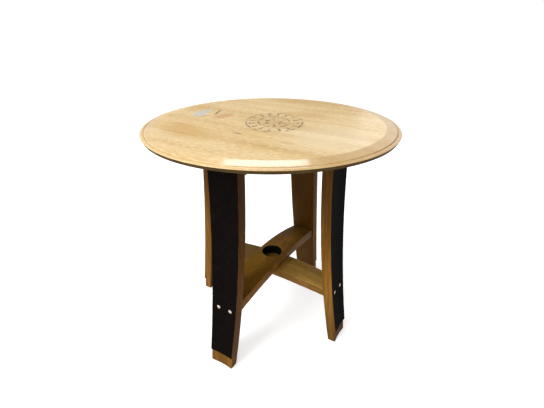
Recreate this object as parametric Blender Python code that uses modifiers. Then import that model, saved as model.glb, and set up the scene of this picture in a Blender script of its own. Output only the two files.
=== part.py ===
"""Round stave table with a top that tilts on a hidden pivot bolt.

Frame: metres, +Z up, origin on the floor under the centre of the top. The front leg stands at -Y,
the right leg at +X. The boards of the top run along X, the battens under it along Y.
"""
import math

import bmesh
import bpy
from mathutils import Matrix, Vector

GAP = 0.0003            # clearance between pieces that touch
RUN = 0.00005           # radial clearance of a running shaft

# Top: a round head of edge-joined boards
R_TOP = 0.290
Z_FLAT = 0.5612         # upper face
Z_UNDER = 0.5412        # flat underside
DISC_SEGMENTS = 96
DISC_PROFILE = [        # (radius, z) from the upper face round the lip to the underside
    (0.2565, Z_FLAT), (0.2590, 0.5609), (0.2806, 0.5577), (0.2814, 0.5559), (0.2822, 0.5568),
    (0.2893, 0.5548), (0.2900, 0.5541), (0.2862, 0.5466), (0.2680, Z_UNDER),
]
SEAMS = (-0.178, -0.122, -0.040, 0.042, 0.107, 0.168)

# Legs: staves set on end, hollow side outward. Radii are those of the outer face's long edges.
STAVE_T = 0.0258
BULGE = 0.0025          # extra half width at mid height
STAVE_HEIGHT = 0.5446   # length scale of the leg curves
HOLLOW = 0.0020         # depth of the face's hollow across its width
EDGE = 0.0012           # chamfer of the long edges
LEG_TOP = Z_UNDER - GAP
CROZE_LOW, CROZE_HIGH, CROZE_DEPTH = 0.0290, 0.0330, 0.0078
BAND_TOP, BAND_FOOT = 0.0045, 0.0062    # the end band below the croze tapers: set-back at its top and foot
BASE = Vector((0.0027, 0.0005, 0.0))    # the legs' axis stands this far from the centre of the top
LEGS = {                # azimuth, foot radius, head radius, foot width, head width, sag
    "front": (-90.0, 0.2515, 0.1915, 0.0630, 0.0760, 0.0160),
    "right": (0.0, 0.2235, 0.1755, 0.0630, 0.0840, 0.0121),
    "back": (90.0, 0.2505, 0.1805, 0.0625, 0.0750, 0.0108),
    "left": (180.0, 0.2405, 0.1840, 0.0635, 0.0785, 0.0105),
}

# Crossed stretchers
UPPER = {"top": 0.2030, "ends": 0.1815, "t": 0.0242, "mid_w": 0.0770, "end_w": 0.0615, "skew": 0.0020,
         "droop": 0.0050}
LOWER = {"top": 0.1784, "ends": 0.1650, "t": 0.0225, "mid_w": 0.0750, "end_w": 0.0640, "skew": 0.0,
         "droop": 0.0}
CROWN = 0.0020          # rise of a stretcher's upper face across its width
BUNG_R = 0.025

# Battens and pivot
BATTEN_IN, BATTEN_OUT = 0.039, 0.067
BATTEN_END = 0.200
BATTEN_T = 0.026
PIVOT_Y = 0.172
PIVOT_Z = Z_UNDER - 0.016
PIVOT_R = 0.004
BOLT_END = 0.0772       # end of the bolt beyond its nut, from the middle
HEEL_R = 0.0156         # the back leg's top corner is rounded about the pivot

# Catch
CATCH_Y = -0.178
CATCH_Z = Z_UNDER - 0.014
CATCH_R = 0.003
CATCH_TRAVEL = 0.015

# Head brace under the battens
BRACE_TOP = Z_UNDER - 0.029
BRACE_LOW = Z_UNDER - 0.053
BRACE_HALF = 0.030
BRACE_SCREW_Z = Z_UNDER - 0.041

# Screws: head radius, shank radius, length
LEG_SCREW = (0.0046, 0.0021, 0.046)
BATTEN_SCREW = (0.0042, 0.0019, 0.037)
SCREW_SEGMENTS = 10
LEG_SCREW_U = 0.017
LEG_SCREW_Z = {"front": 0.1615, "back": 0.1615, "right": 0.1540, "left": 0.1540}

for old in list(bpy.data.objects):
    bpy.data.objects.remove(old, do_unlink=True)
scene = bpy.context.scene
table = bpy.data.collections.new("tilt_top_table")
cutters = bpy.data.collections.new("cutters")
for group in (table, cutters):
    scene.collection.children.link(group)


def material(name, colour, roughness, metallic=0.0):
    """One Principled material."""
    mat = bpy.data.materials.new(name)
    mat.use_nodes = True
    shader = mat.node_tree.nodes["Principled BSDF"]
    shader.inputs["Base Color"].default_value = (*colour, 1.0)
    shader.inputs["Roughness"].default_value = roughness
    shader.inputs["Metallic"].default_value = metallic
    return mat


def finish_mesh(name, bm):
    """Turn a bmesh into mesh data with outward faces."""
    bmesh.ops.recalc_face_normals(bm, faces=bm.faces)
    data = bpy.data.meshes.new(name)
    bm.to_mesh(data)
    bm.free()
    data.shade_smooth()
    data.set_sharp_from_angle(angle=math.radians(30.0))
    return data


def add_piece(name, bm, mat):
    """Add a piece of the table."""
    obj = bpy.data.objects.new(name, finish_mesh(name, bm))
    obj.data.materials.append(mat)
    table.objects.link(obj)
    return obj


def screwed(name, profile, frame, segments, group):
    """Solid turned round the local Z of frame: a profile, top to bottom, with a Screw modifier."""
    points = [(0.0, profile[0][1])] + profile + [(0.0, profile[-1][1])]
    data = bpy.data.meshes.new(name)
    data.from_pydata([(r, 0.0, h) for r, h in points], [(i, i + 1) for i in range(len(points) - 1)], [])
    obj = bpy.data.objects.new(name, data)
    obj.matrix_basis = frame
    group.objects.link(obj)
    mod = obj.modifiers.new("turn", "SCREW")
    mod.steps = mod.render_steps = segments
    mod.use_merge_vertices = True
    mod.merge_threshold = 0.000001
    mod.use_smooth_shade = segments > 6
    return obj


def turned_piece(name, profile, frame, segments, mat):
    """Add a turned piece of the table."""
    obj = screwed(name, profile, frame, segments, table)
    obj.data.materials.append(mat)
    return obj


def use_cutter(obj, tool):
    """Take the cutter tool out of obj."""
    tool.hide_render = True
    tool.display_type = "WIRE"
    mod = obj.modifiers.new("cut", "BOOLEAN")
    mod.object = tool
    mod.operation = "DIFFERENCE"
    mod.solver = "EXACT"


def bore(obj, radius, low, high, frame):
    """Take a cylinder along the local Z of frame out of obj."""
    use_cutter(obj, screwed("bore_" + obj.name, [(radius, high), (radius, low)], frame, 32, cutters))


def cut(obj, bm):
    """Take the closed shape bm out of obj."""
    tool = bpy.data.objects.new("cut_" + obj.name, finish_mesh("cut_" + obj.name, bm))
    cutters.objects.link(tool)
    use_cutter(obj, tool)


def loft(bm, rings):
    """Skin a list of closed rings. Each end is capped in strips between a ring's two long sides."""
    verts = [[bm.verts.new(p) for p in ring] for ring in rings]
    count = len(rings[0])
    for low, high in zip(verts, verts[1:]):
        for i in range(count):
            j = (i + 1) % count
            bm.faces.new((low[i], low[j], high[j], high[i]))
    for ring in (verts[0], verts[-1]):
        for i in range(count // 2 - 1):
            bm.faces.new((ring[i], ring[i + 1], ring[count - 2 - i], ring[count - 1 - i]))


def turned(bm, profile, frame, segments):
    """Spin (radius, height) pairs about the local Z of frame and close both ends."""
    verts = [bm.verts.new(frame @ Vector((radius, 0.0, height))) for radius, height in profile]
    edges = [bm.edges.new(pair) for pair in zip(verts, verts[1:])]
    bmesh.ops.spin(bm, geom=verts + edges, cent=frame.translation, axis=frame.col[2].xyz,
                   angle=2.0 * math.pi, steps=segments, use_merge=True)
    bmesh.ops.holes_fill(bm, edges=[e for e in bm.edges if e.is_boundary], sides=0)


def box(bm, low, high):
    """Axis-aligned box."""
    centre = (Vector(low) + Vector(high)) / 2.0
    size = Vector(high) - Vector(low)
    bmesh.ops.create_cube(bm, size=1.0, matrix=Matrix.Translation(centre) @ Matrix.Diagonal((*size, 1.0)))


def facing(position, outward):
    """Frame at position whose local Z points along outward."""
    turn = Vector(outward).to_track_quat("Z", "Y").to_matrix().to_4x4()
    return Matrix.Translation(position) @ turn


def leg_edge(leg, z):
    """Radius of the outer face's long edges at height z."""
    _, foot, head, _, _, sag = LEGS[leg]
    s = z / STAVE_HEIGHT
    return foot * (1.0 - s) + head * s - sag * 4.0 * s * (1.0 - s)


def leg_half_width(leg, z):
    s = z / STAVE_HEIGHT
    return 0.5 * (LEGS[leg][3] * (1.0 - s) + LEGS[leg][4] * s) + BULGE * 4.0 * s * (1.0 - s)


def leg_inner(leg, u, z):
    """Radius of the inner face, crowned across its width."""
    w = leg_half_width(leg, z)
    return leg_edge(leg, z) - STAVE_T - HOLLOW * (1.0 - min(1.0, (u / w) ** 2))


def leg_outer(leg, u, z):
    w = leg_half_width(leg, z)
    return leg_edge(leg, z) - HOLLOW * (1.0 - min(1.0, (u / w) ** 2))


def leg_frame(leg):
    """Outward and sideways directions of a leg."""
    a = math.radians(LEGS[leg][0])
    return Vector((math.cos(a), math.sin(a), 0.0)), Vector((-math.sin(a), math.cos(a), 0.0))


def leg_point(leg, u, r, z):
    out, side = leg_frame(leg)
    return BASE + out * r + side * u + Vector((0.0, 0.0, z))


def outer_step(z):
    """How far the outer face is set back by the croze and the end band."""
    if z < CROZE_LOW - 0.0002:
        return BAND_FOOT + (BAND_TOP - BAND_FOOT) * z / CROZE_LOW
    if z < CROZE_HIGH + 0.0002:
        return CROZE_DEPTH
    return 0.0


def foot_round(z):
    """How much narrower each side is near the floor, where the corners are worn round."""
    radius = 0.0024
    if z >= radius:
        return 0.0
    return radius - math.sqrt(max(0.0, radius ** 2 - (radius - z) ** 2))


def leg_ring(leg, z):
    """Closed section of a leg at height z."""
    w = leg_half_width(leg, z) - min(0.0018, foot_round(z))
    edge = leg_edge(leg, z) - outer_step(z)
    rise = z - PIVOT_Z
    if leg == "back" and rise > 0.0:
        edge = min(edge, PIVOT_Y + math.sqrt(max(0.0, HEEL_R ** 2 - rise ** 2)))
    inner = leg_edge(leg, z) - STAVE_T
    steps = (-1.0, -0.55, 0.0, 0.55, 1.0)
    ring = [(-w, edge - EDGE)]
    ring += [(u * (w - EDGE), edge - HOLLOW * (1.0 - u * u)) for u in steps]
    ring += [(w, edge - EDGE), (w, inner + EDGE)]
    ring += [(-u * (w - EDGE), inner - HOLLOW * (1.0 - u * u)) for u in steps]
    ring += [(-w, inner + EDGE)]
    return [leg_point(leg, u, r, z) for u, r in ring]


def leg_heights(leg):
    """Heights of the sections, closer together at the foot, the croze and the heel."""
    low = [0.0, 0.0007, 0.0024, 0.0052, CROZE_LOW - 0.0004, CROZE_LOW, CROZE_HIGH, CROZE_HIGH + 0.0005]
    top = PIVOT_Z + 0.0155 if leg == "back" else LEG_TOP
    last = PIVOT_Z + 0.0120 if leg == "back" else LEG_TOP
    body = [low[-1] + (last - low[-1]) * k / 13.0 for k in range(1, 14)]
    heel = [PIVOT_Z + d for d in (0.0132, 0.0144, 0.0151)] + [top] if leg == "back" else []
    return low + body + heel


def screw_profile(size, grow=0.0):
    """Countersunk screw with its head at local z = 0 and its point down the axis."""
    head, shank, length = size
    points = [(head + grow, 0.006 if grow else 0.0), (head + grow, -0.0008), (shank + grow, -0.0036)]
    if grow:
        return points + [(shank + grow, -length - grow)]
    return points + [(shank, -length + 0.005), (0.0007, -length)]


def screw_spots():
    """Name, piece list, head centre and outward direction of every screw."""
    spots = []
    arms = {"front": "stretcher_upper", "back": "stretcher_upper",
            "right": "stretcher_lower", "left": "stretcher_lower"}
    braces = {"front": "brace_long", "back": "brace_long", "right": "brace_cross", "left": "brace_cross"}
    for leg in LEGS:
        out, _ = leg_frame(leg)
        for side, u in (("a", -LEG_SCREW_U), ("b", LEG_SCREW_U)):
            z = LEG_SCREW_Z[leg]
            r = leg_outer(leg, u, z) - 0.0004
            spots.append((f"leg_screw_{leg}_{side}", ("leg_" + leg, arms[leg]),
                          leg_point(leg, u, r, z), out, LEG_SCREW))
        r = leg_outer(leg, 0.0, BRACE_SCREW_Z) - 0.0004
        spots.append((f"brace_screw_{leg}", ("leg_" + leg, braces[leg]),
                      leg_point(leg, 0.0, r, BRACE_SCREW_Z), out, LEG_SCREW))
    edges = (-0.202,) + SEAMS + (0.206,)
    rows = [0.5 * (a + b) for a, b in zip(edges, edges[1:])]
    middle = 0.5 * (BATTEN_IN + BATTEN_OUT)
    for side, x in (("left", -middle), ("right", middle)):
        for k, y in enumerate(rows):
            spots.append((f"batten_screw_{side}_{k + 1}", (f"batten_{side}", f"head_board_{k + 1}"),
                          BASE + Vector((x, y, Z_UNDER - BATTEN_T + 0.0002)), Vector((0, 0, -1)), BATTEN_SCREW))
    low = LOWER["top"] - LOWER["t"] + 0.0004
    for side, x in (("a", -0.031), ("b", 0.031)):
        spots.append((f"cross_screw_{side}", ("stretcher_lower", "stretcher_upper"),
                      BASE + Vector((x, 0.0, low - 0.0006)), Vector((0, 0, -1)), (0.0044, 0.0021, 0.034)))
    spots.append(("brace_middle_screw", ("brace_long", "brace_cross"),
                  BASE + Vector((0.0, 0.0, BRACE_LOW + 0.0002)), Vector((0, 0, -1)), (0.0044, 0.0021, 0.020)))
    return spots


def pivot_frame():
    return facing(BASE + Vector((0.0, PIVOT_Y, PIVOT_Z)), (1.0, 0.0, 0.0))


def catch_frame():
    return facing(BASE + Vector((0.0, CATCH_Y, CATCH_Z)), (1.0, 0.0, 0.0))


SPOTS = screw_spots()


def extra_holes(name, bm):
    """Bores that are not screw holes."""
    if name in ("leg_back", "batten_left", "batten_right"):
        turned(bm, [(PIVOT_R + RUN, 0.08), (PIVOT_R + RUN, -0.08)], pivot_frame(), 32)
    if name == "batten_right":
        turned(bm, [(CATCH_R + RUN, 0.08), (CATCH_R + RUN, 0.03)], catch_frame(), 24)
    if name == "leg_front":
        turned(bm, [(CATCH_R + GAP, 0.050), (CATCH_R + GAP, 0.020)], catch_frame(), 24)
    if name == "stretcher_upper":
        turned(bm, [(BUNG_R, 0.230), (BUNG_R, 0.150)], Matrix.Translation(BASE), 32)


def drill(obj):
    """Cut every hole of one piece with a single tool."""
    bm = bmesh.new()
    for _, pieces, head, outward, size in SPOTS:
        if obj.name in pieces:
            turned(bm, screw_profile(size, GAP), facing(head, outward), SCREW_SEGMENTS)
    extra_holes(obj.name, bm)
    if bm.faces:
        cut(obj, bm)
    else:
        bm.free()


def board_mesh(low, high):
    """The turned disc between two planes across Y."""
    bm = bmesh.new()
    turned(bm, DISC_PROFILE, Matrix.Identity(4), DISC_SEGMENTS)
    bmesh.ops.recalc_face_normals(bm, faces=bm.faces)
    for y, normal in ((low, -1.0), (high, 1.0)):
        if abs(y) >= R_TOP:
            continue
        geom = bm.verts[:] + bm.edges[:] + bm.faces[:]
        bmesh.ops.bisect_plane(bm, geom=geom, dist=1e-7, plane_co=(0.0, y, 0.0),
                               plane_no=(0.0, normal, 0.0), clear_outer=True)
        rim = [e for e in bm.edges if e.is_boundary]
        bmesh.ops.edgenet_fill(bm, edges=rim)
    return bm


def stretcher_mesh(axis, legs, spec):
    """A bowed plank whose ends follow the inner faces of two legs."""
    bm = bmesh.new()
    stations = 16
    rings = []
    half = 0.5 * (leg_inner(legs[0], 0.0, spec["ends"]) + leg_inner(legs[1], 0.0, spec["ends"]))
    for k in range(stations + 1):
        t = 2.0 * k / stations - 1.0
        top = spec["top"] - (spec["top"] - spec["ends"]) * t * t + spec["skew"] * t
        low = top - spec["t"] - spec["droop"] * t * t
        w = 0.5 * (spec["mid_w"] - (spec["mid_w"] - spec["end_w"]) * t * t)
        steps = (-1.0, -0.55, 0.0, 0.55, 1.0)
        section = [(-w, top - CROWN - EDGE)]
        section += [(u * (w - EDGE), top - CROWN * u * u) for u in steps]
        section += [(w, top - CROWN - EDGE), (w, low + EDGE)]
        section += [(-u * (w - EDGE), low) for u in steps]
        section += [(-w, low + EDGE)]
        ring = []
        for u, z in section:
            along = t * half
            if k in (0, stations):
                leg = legs[0] if k == 0 else legs[1]
                reach = leg_inner(leg, u, z) - GAP
                along = -reach if k == 0 else reach
            ring.append(BASE + (Vector((along, u, z)) if axis == "X" else Vector((u, along, z))))
        rings.append(ring)
    loft(bm, rings)
    return bm


def brace_mesh(axis, legs):
    """A flat rail between two legs under the battens."""
    bm = bmesh.new()
    rings = []
    for leg, sign in zip(legs, (-1.0, 1.0)):
        ring = []
        for u, z in ((-BRACE_HALF, BRACE_TOP), (0.0, BRACE_TOP), (BRACE_HALF, BRACE_TOP),
                     (BRACE_HALF, BRACE_LOW), (0.0, BRACE_LOW), (-BRACE_HALF, BRACE_LOW)):
            along = sign * (leg_inner(leg, u, z) - GAP - 0.0001)
            ring.append(BASE + (Vector((along, u, z)) if axis == "X" else Vector((u, along, z))))
        rings.append(ring)
    loft(bm, rings)
    return bm


def lap_cut(obj, upper):
    """Halve a brace rail where the other one crosses it."""
    bm = bmesh.new()
    middle = 0.5 * (BRACE_TOP + BRACE_LOW)
    reach = BRACE_HALF + GAP
    far = BRACE_HALF + 0.01
    low, high = (middle - GAP / 2, BRACE_TOP + 0.01) if upper else (BRACE_LOW - 0.01, middle + GAP / 2)
    if upper:
        box(bm, BASE + Vector((-reach, -far, low)), BASE + Vector((reach, far, high)))
    else:
        box(bm, BASE + Vector((-far, -reach, low)), BASE + Vector((far, reach, high)))
    cut(obj, bm)


def build_base(wood):
    """Legs, stretchers and head brace."""
    for leg in LEGS:
        bm = bmesh.new()
        loft(bm, [leg_ring(leg, z) for z in leg_heights(leg)])
        drill(add_piece("leg_" + leg, bm, material("leg_" + leg, (0.055, 0.042, 0.032), 0.8)))
    drill(add_piece("stretcher_upper", stretcher_mesh("Y", ("front", "back"), UPPER),
                    material("stretcher_upper", (0.20, 0.16, 0.11), 0.75)))
    drill(add_piece("stretcher_lower", stretcher_mesh("X", ("left", "right"), LOWER),
                    material("stretcher_lower", (0.19, 0.15, 0.10), 0.75)))
    for name, axis, legs in (("brace_long", "Y", ("front", "back")), ("brace_cross", "X", ("left", "right"))):
        rail = add_piece(name, brace_mesh(axis, legs), material(name, wood, 0.7))
        lap_cut(rail, upper=name == "brace_cross")
        drill(rail)


def build_top(wood):
    """Boards, battens, pivot bolt with its washers and nut."""
    pieces = []
    edges = (-R_TOP,) + SEAMS + (R_TOP,)
    for k, (low, high) in enumerate(zip(edges, edges[1:])):
        low = low + GAP / 2 if k else low
        high = high - GAP / 2 if k < len(SEAMS) else high
        name = f"head_board_{k + 1}"
        pieces.append(add_piece(name, board_mesh(low, high), material(name, (0.62, 0.43, 0.24), 0.5)))
    for side, sign in (("left", -1.0), ("right", 1.0)):
        bm = bmesh.new()
        xs = sorted((sign * BATTEN_IN, sign * BATTEN_OUT))
        box(bm, BASE + Vector((xs[0], -BATTEN_END, Z_UNDER - BATTEN_T)),
            BASE + Vector((xs[1], BATTEN_END, Z_UNDER - GAP)))
        bmesh.ops.bevel(bm, geom=bm.edges[:], offset=0.0015, segments=1, affect="EDGES")
        pieces.append(add_piece("batten_" + side, bm, material("batten_" + side, wood, 0.7)))
    for piece in pieces:
        drill(piece)
    steel = (0.42, 0.42, 0.43)
    washer = BATTEN_OUT + GAP
    head = -(washer + 0.0018)
    bolt = [(0.0033, BOLT_END), (PIVOT_R, BOLT_END - 0.0007), (PIVOT_R, head), (0.0070, head),
            (0.0066, head - 0.0032), (0.0040, head - 0.0045)]
    pieces.append(turned_piece("pivot_bolt", bolt, pivot_frame(), 32, material("pivot_bolt", steel, 0.35, 1.0)))
    for side, low in (("left", -washer - 0.0015), ("right", washer)):
        name = "pivot_washer_" + side
        part = turned_piece(name, [(0.0085, low + 0.0015), (0.0085, low)], pivot_frame(), 32,
                            material(name, steel, 0.35, 1.0))
        bore(part, PIVOT_R + RUN, low - 0.005, low + 0.005, pivot_frame())
        pieces.append(part)
    nut = turned_piece("pivot_nut", [(0.0072, washer + 0.0078), (0.0072, washer + 0.0018)], pivot_frame(), 6,
                       material("pivot_nut", steel, 0.35, 1.0))
    bore(nut, PIVOT_R + RUN, washer - 0.004, washer + 0.012, pivot_frame())
    return pieces + [nut]


def build_catch():
    """Sliding pin and its turned knob, shown drawn back."""
    tip = BATTEN_IN + 0.0008
    seat = BATTEN_OUT + GAP + CATCH_TRAVEL
    rod = [(CATCH_R, seat + 0.0095), (CATCH_R, tip + 0.0012), (0.0018, tip)]
    pin = turned_piece("catch_pin", rod, catch_frame(), 24, material("catch_pin", (0.42, 0.42, 0.43), 0.35, 1.0))
    shape = [(0.0045, 0.0160), (0.0080, 0.0144), (0.0090, 0.0112), (0.0080, 0.0078), (0.0050, 0.0040),
             (0.0062, 0.0012), (0.0055, 0.0)]
    knob = turned_piece("catch_knob", [(r, seat + h) for r, h in shape], catch_frame(), 24,
                        material("catch_knob", (0.30, 0.19, 0.10), 0.5))
    bore(knob, CATCH_R + RUN, seat - 0.004, seat + 0.0098, catch_frame())
    return [pin, knob]


def build_screws():
    """All wood screws. Returns those that ride with the top."""
    moving = []
    for name, _, head, outward, size in SPOTS:
        obj = turned_piece(name, screw_profile(size), facing(head, outward), SCREW_SEGMENTS,
                           material(name, (0.45, 0.44, 0.42), 0.4, 1.0))
        if name.startswith("batten_screw"):
            moving.append(obj)
    return moving


def carry(pieces, name, position):
    """Parent pieces to an empty on their joint axis without moving them."""
    empty = bpy.data.objects.new(name, None)
    empty.location = position
    table.objects.link(empty)
    for piece in pieces:
        piece.parent = empty
        piece.matrix_parent_inverse = Matrix.Translation(-Vector(position))
    return empty


build_base((0.36, 0.25, 0.15))
top_pieces = build_top((0.36, 0.25, 0.15))
catch_pieces = build_catch()
top_pieces += build_screws()
carry(top_pieces, "pivot_axis", BASE + Vector((0.0, PIVOT_Y, PIVOT_Z)))
carry(catch_pieces, "catch_axis", BASE + Vector((BATTEN_OUT, CATCH_Y, CATCH_Z)))
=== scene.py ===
"""Looks of a round stave table with a tilting top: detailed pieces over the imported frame, materials,
floor, light and camera. Metres, +Z up, front leg at -Y."""
import math

import bmesh
import bpy
from mathutils import Matrix, Vector, noise


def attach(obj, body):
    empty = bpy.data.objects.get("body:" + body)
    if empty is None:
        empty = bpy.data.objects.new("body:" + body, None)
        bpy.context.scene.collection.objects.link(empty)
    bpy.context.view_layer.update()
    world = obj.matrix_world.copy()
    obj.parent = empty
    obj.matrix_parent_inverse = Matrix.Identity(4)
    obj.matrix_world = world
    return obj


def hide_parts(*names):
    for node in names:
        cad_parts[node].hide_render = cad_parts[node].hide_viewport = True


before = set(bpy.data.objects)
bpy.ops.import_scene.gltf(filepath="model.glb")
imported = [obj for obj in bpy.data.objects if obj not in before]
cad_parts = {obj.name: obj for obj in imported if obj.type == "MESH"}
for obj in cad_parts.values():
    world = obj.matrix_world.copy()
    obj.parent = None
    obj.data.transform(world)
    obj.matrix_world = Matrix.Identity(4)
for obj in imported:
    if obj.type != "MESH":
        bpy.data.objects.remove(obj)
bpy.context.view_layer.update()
scene = bpy.context.scene
scene.view_settings.view_transform = "Standard"

# ---------------------------------------------------------------- dimensions, as in the CAD
GAP = 0.0003            # clearance between pieces that touch
RUN = 0.00005           # radial clearance of a running shaft
R_TOP = 0.290
Z_FLAT = 0.5612         # upper face of the top
Z_UNDER = 0.5412        # its flat underside
SEAMS = (-0.178, -0.122, -0.040, 0.042, 0.107, 0.168)
STAVE_T = 0.0258
BULGE = 0.0025          # extra half width at mid height
STAVE_HEIGHT = 0.5446   # length scale of the leg curves
HOLLOW = 0.0020         # depth of a leg face's hollow across its width
FOOT_R, FOOT_CUT = 0.0024, 0.0018       # round of a foot's side edges, and how far it goes in
LEG_TOP = Z_UNDER - GAP
CROZE_LOW, CROZE_HIGH, CROZE_DEPTH = 0.0290, 0.0330, 0.0078
BAND_TOP, BAND_FOOT = 0.0045, 0.0062    # set-back of the end band at its top and foot
BASE = Vector((0.0027, 0.0005, 0.0))    # the legs' axis, from the centre of the top
LEGS = {                # azimuth, foot radius, head radius, foot width, head width, sag
    "front": (-90.0, 0.2515, 0.1915, 0.0630, 0.0760, 0.0160),
    "right": (0.0, 0.2235, 0.1755, 0.0630, 0.0840, 0.0121),
    "back": (90.0, 0.2505, 0.1805, 0.0625, 0.0750, 0.0108),
    "left": (180.0, 0.2405, 0.1840, 0.0635, 0.0785, 0.0105),
}
UPPER = {"top": 0.2030, "ends": 0.1815, "t": 0.0242, "mid_w": 0.0770, "end_w": 0.0615, "skew": 0.0020,
         "droop": 0.0050}
LOWER = {"top": 0.1784, "ends": 0.1650, "t": 0.0225, "mid_w": 0.0750, "end_w": 0.0640, "skew": 0.0,
         "droop": 0.0}
CROWN = 0.0020          # rise of a stretcher's upper face across its width
BUNG_R = 0.025
BATTEN_IN, BATTEN_OUT = 0.039, 0.067
BATTEN_T = 0.026
PIVOT_Y = 0.172
PIVOT_Z = Z_UNDER - 0.016
PIVOT_R = 0.004
BOLT_END = 0.0772       # end of the bolt beyond its nut, from the middle
HEEL_R = 0.0156         # the back leg's top corner is rounded about the pivot
CATCH_Y = -0.178
CATCH_Z = Z_UNDER - 0.014
CATCH_R = 0.003
CATCH_TRAVEL = 0.015
BRACE_LOW = Z_UNDER - 0.053
BRACE_SCREW_Z = Z_UNDER - 0.041
LEG_SCREW = (0.0046, 0.0021, 0.046)     # head radius, shank radius, length
BATTEN_SCREW = (0.0042, 0.0019, 0.037)
CROSS_SCREW = (0.0044, 0.0021, 0.034)
LAP_SCREW = (0.0044, 0.0021, 0.020)
BATTEN_ROW_ENDS = (-0.202, 0.206)       # the outer boards' screws stand midway between these and a seam
CROSS_SCREW_X = 0.031
LEG_SCREW_U = 0.017
LEG_SCREW_Z = {"front": 0.1615, "back": 0.1615, "right": 0.1540, "left": 0.1540}

# Wear that only the shown pieces have
WORN_R, WORN_SWING = 0.0013, 0.0007     # radius of a worn edge, and how much it changes along a piece
SEAM_EASE = 0.00035                     # rounding of the boards' edges at the seams
VIEW_TURN = math.radians(31.5)          # the camera stands this far round from the front leg

# ---------------------------------------------------------------- mesh helpers


def mesh_from(name, bm):
    """A mesh made from bm, which is used up."""
    bmesh.ops.recalc_face_normals(bm, faces=bm.faces)
    data = bpy.data.meshes.new(name)
    bm.to_mesh(data)
    bm.free()
    return data


def shade(data, angle=32.0):
    data.shade_smooth()
    data.set_sharp_from_angle(angle=math.radians(angle))


def piece(name, data, mat, body, node=None, angle=32.0):
    """A shown piece that rides on a body and may stand for a CAD node."""
    shade(data, angle)
    obj = bpy.data.objects.new(name, data)
    data.materials.clear()
    data.materials.append(mat)
    scene.collection.objects.link(obj)
    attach(obj, body)
    if node:
        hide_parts(node)
    return obj


def carved(name, bm, tool):
    """Mesh of bm with the closed shape tool taken out of it."""
    body = bpy.data.objects.new(name, mesh_from(name, bm))
    knife = bpy.data.objects.new(name + "_knife", mesh_from(name + "_knife", tool))
    scene.collection.objects.link(body)
    scene.collection.objects.link(knife)
    mod = body.modifiers.new("cut", "BOOLEAN")
    mod.object, mod.operation, mod.solver = knife, "DIFFERENCE", "EXACT"
    depsgraph = bpy.context.evaluated_depsgraph_get()
    data = bpy.data.meshes.new_from_object(body.evaluated_get(depsgraph))
    bpy.data.objects.remove(body, do_unlink=True)
    bpy.data.objects.remove(knife, do_unlink=True)
    return data


def loft(bm, rings):
    """Skin over closed rings with as many points each, and close both ends."""
    verts = [[bm.verts.new(p) for p in ring] for ring in rings]
    count = len(rings[0])
    for low, high in zip(verts, verts[1:]):
        for i in range(count):
            j = (i + 1) % count
            bm.faces.new((low[i], low[j], high[j], high[i]))
    for ring in (verts[0], verts[-1]):
        for i in range(count // 2 - 1):
            bm.faces.new((ring[i], ring[i + 1], ring[count - 2 - i], ring[count - 1 - i]))


def turned(bm, profile, place, segments):
    """Spin (radius, height) pairs about the local Z of place and close both ends."""
    verts = [bm.verts.new(place @ Vector((radius, 0.0, height))) for radius, height in profile]
    edges = [bm.edges.new(pair) for pair in zip(verts, verts[1:])]
    bmesh.ops.spin(bm, geom=verts + edges, cent=place.translation, axis=place.col[2].xyz,
                   angle=2.0 * math.pi, steps=segments, use_merge=True)
    bmesh.ops.holes_fill(bm, edges=[e for e in bm.edges if e.is_boundary], sides=0)


def facing(position, outward):
    """Place with its local Z along outward."""
    turn = Vector(outward).to_track_quat("Z", "Y").to_matrix().to_4x4()
    return Matrix.Translation(position) @ turn


def fuzz(x, y, z, scale, seed=0.0):
    """Smooth noise from -1 to 1."""
    return noise.noise(Vector((x * scale + seed, y * scale - seed, z * scale + 2.0 * seed)))


def worn_radius(x, y, z, scale, seed):
    """Radius of a worn edge at one place along it."""
    return WORN_R + WORN_SWING * fuzz(x, y, z, scale, seed)


def arc(centre, radius, start, end):
    """Four points of a corner arc, angles in degrees."""
    out = []
    for k in range(4):
        a = math.radians(start + (end - start) * k / 3)
        out.append((centre[0] + radius * math.cos(a), centre[1] + radius * math.sin(a)))
    return out


# ---------------------------------------------------------------- legs


def leg_edge(leg, z):
    """Radius of the outer face's long edges at one height."""
    _, foot, head, _, _, sag = LEGS[leg]
    s = z / STAVE_HEIGHT
    return foot * (1.0 - s) + head * s - sag * 4.0 * s * (1.0 - s)


def leg_half_width(leg, z):
    s = z / STAVE_HEIGHT
    return 0.5 * (LEGS[leg][3] * (1.0 - s) + LEGS[leg][4] * s) + BULGE * 4.0 * s * (1.0 - s)


def leg_outer(leg, u, z):
    """Radius of the hollow outer face, u to one side of its middle."""
    w = leg_half_width(leg, z)
    return leg_edge(leg, z) - HOLLOW * (1.0 - min(1.0, (u / w) ** 2))


def leg_inner(leg, u, z):
    """Radius of the inner face, which keeps the outer one's curve."""
    w = leg_half_width(leg, z)
    return leg_edge(leg, z) - STAVE_T - HOLLOW * (1.0 - min(1.0, (u / w) ** 2))


def leg_frame(leg):
    """Directions outward and along the width of a leg."""
    a = math.radians(LEGS[leg][0])
    return Vector((math.cos(a), math.sin(a), 0.0)), Vector((-math.sin(a), math.cos(a), 0.0))


def leg_point(leg, u, r, z):
    out, side = leg_frame(leg)
    return BASE + out * r + side * u + Vector((0.0, 0.0, z))


def outer_step(z):
    """Set-back of the outer face at the croze and the end band, with softened edges."""
    def rise(a, b):
        t = min(1.0, max(0.0, (z - a) / (b - a)))
        return t * t * (3.0 - 2.0 * t)
    groove = rise(CROZE_LOW - 0.0006, CROZE_LOW + 0.0002) * (1.0 - rise(CROZE_HIGH, CROZE_HIGH + 0.0010))
    band = 1.0 - rise(CROZE_LOW, CROZE_HIGH)
    taper = BAND_FOOT + (BAND_TOP - BAND_FOOT) * min(1.0, z / CROZE_LOW)
    return max(groove * CROZE_DEPTH, band * taper)


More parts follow.
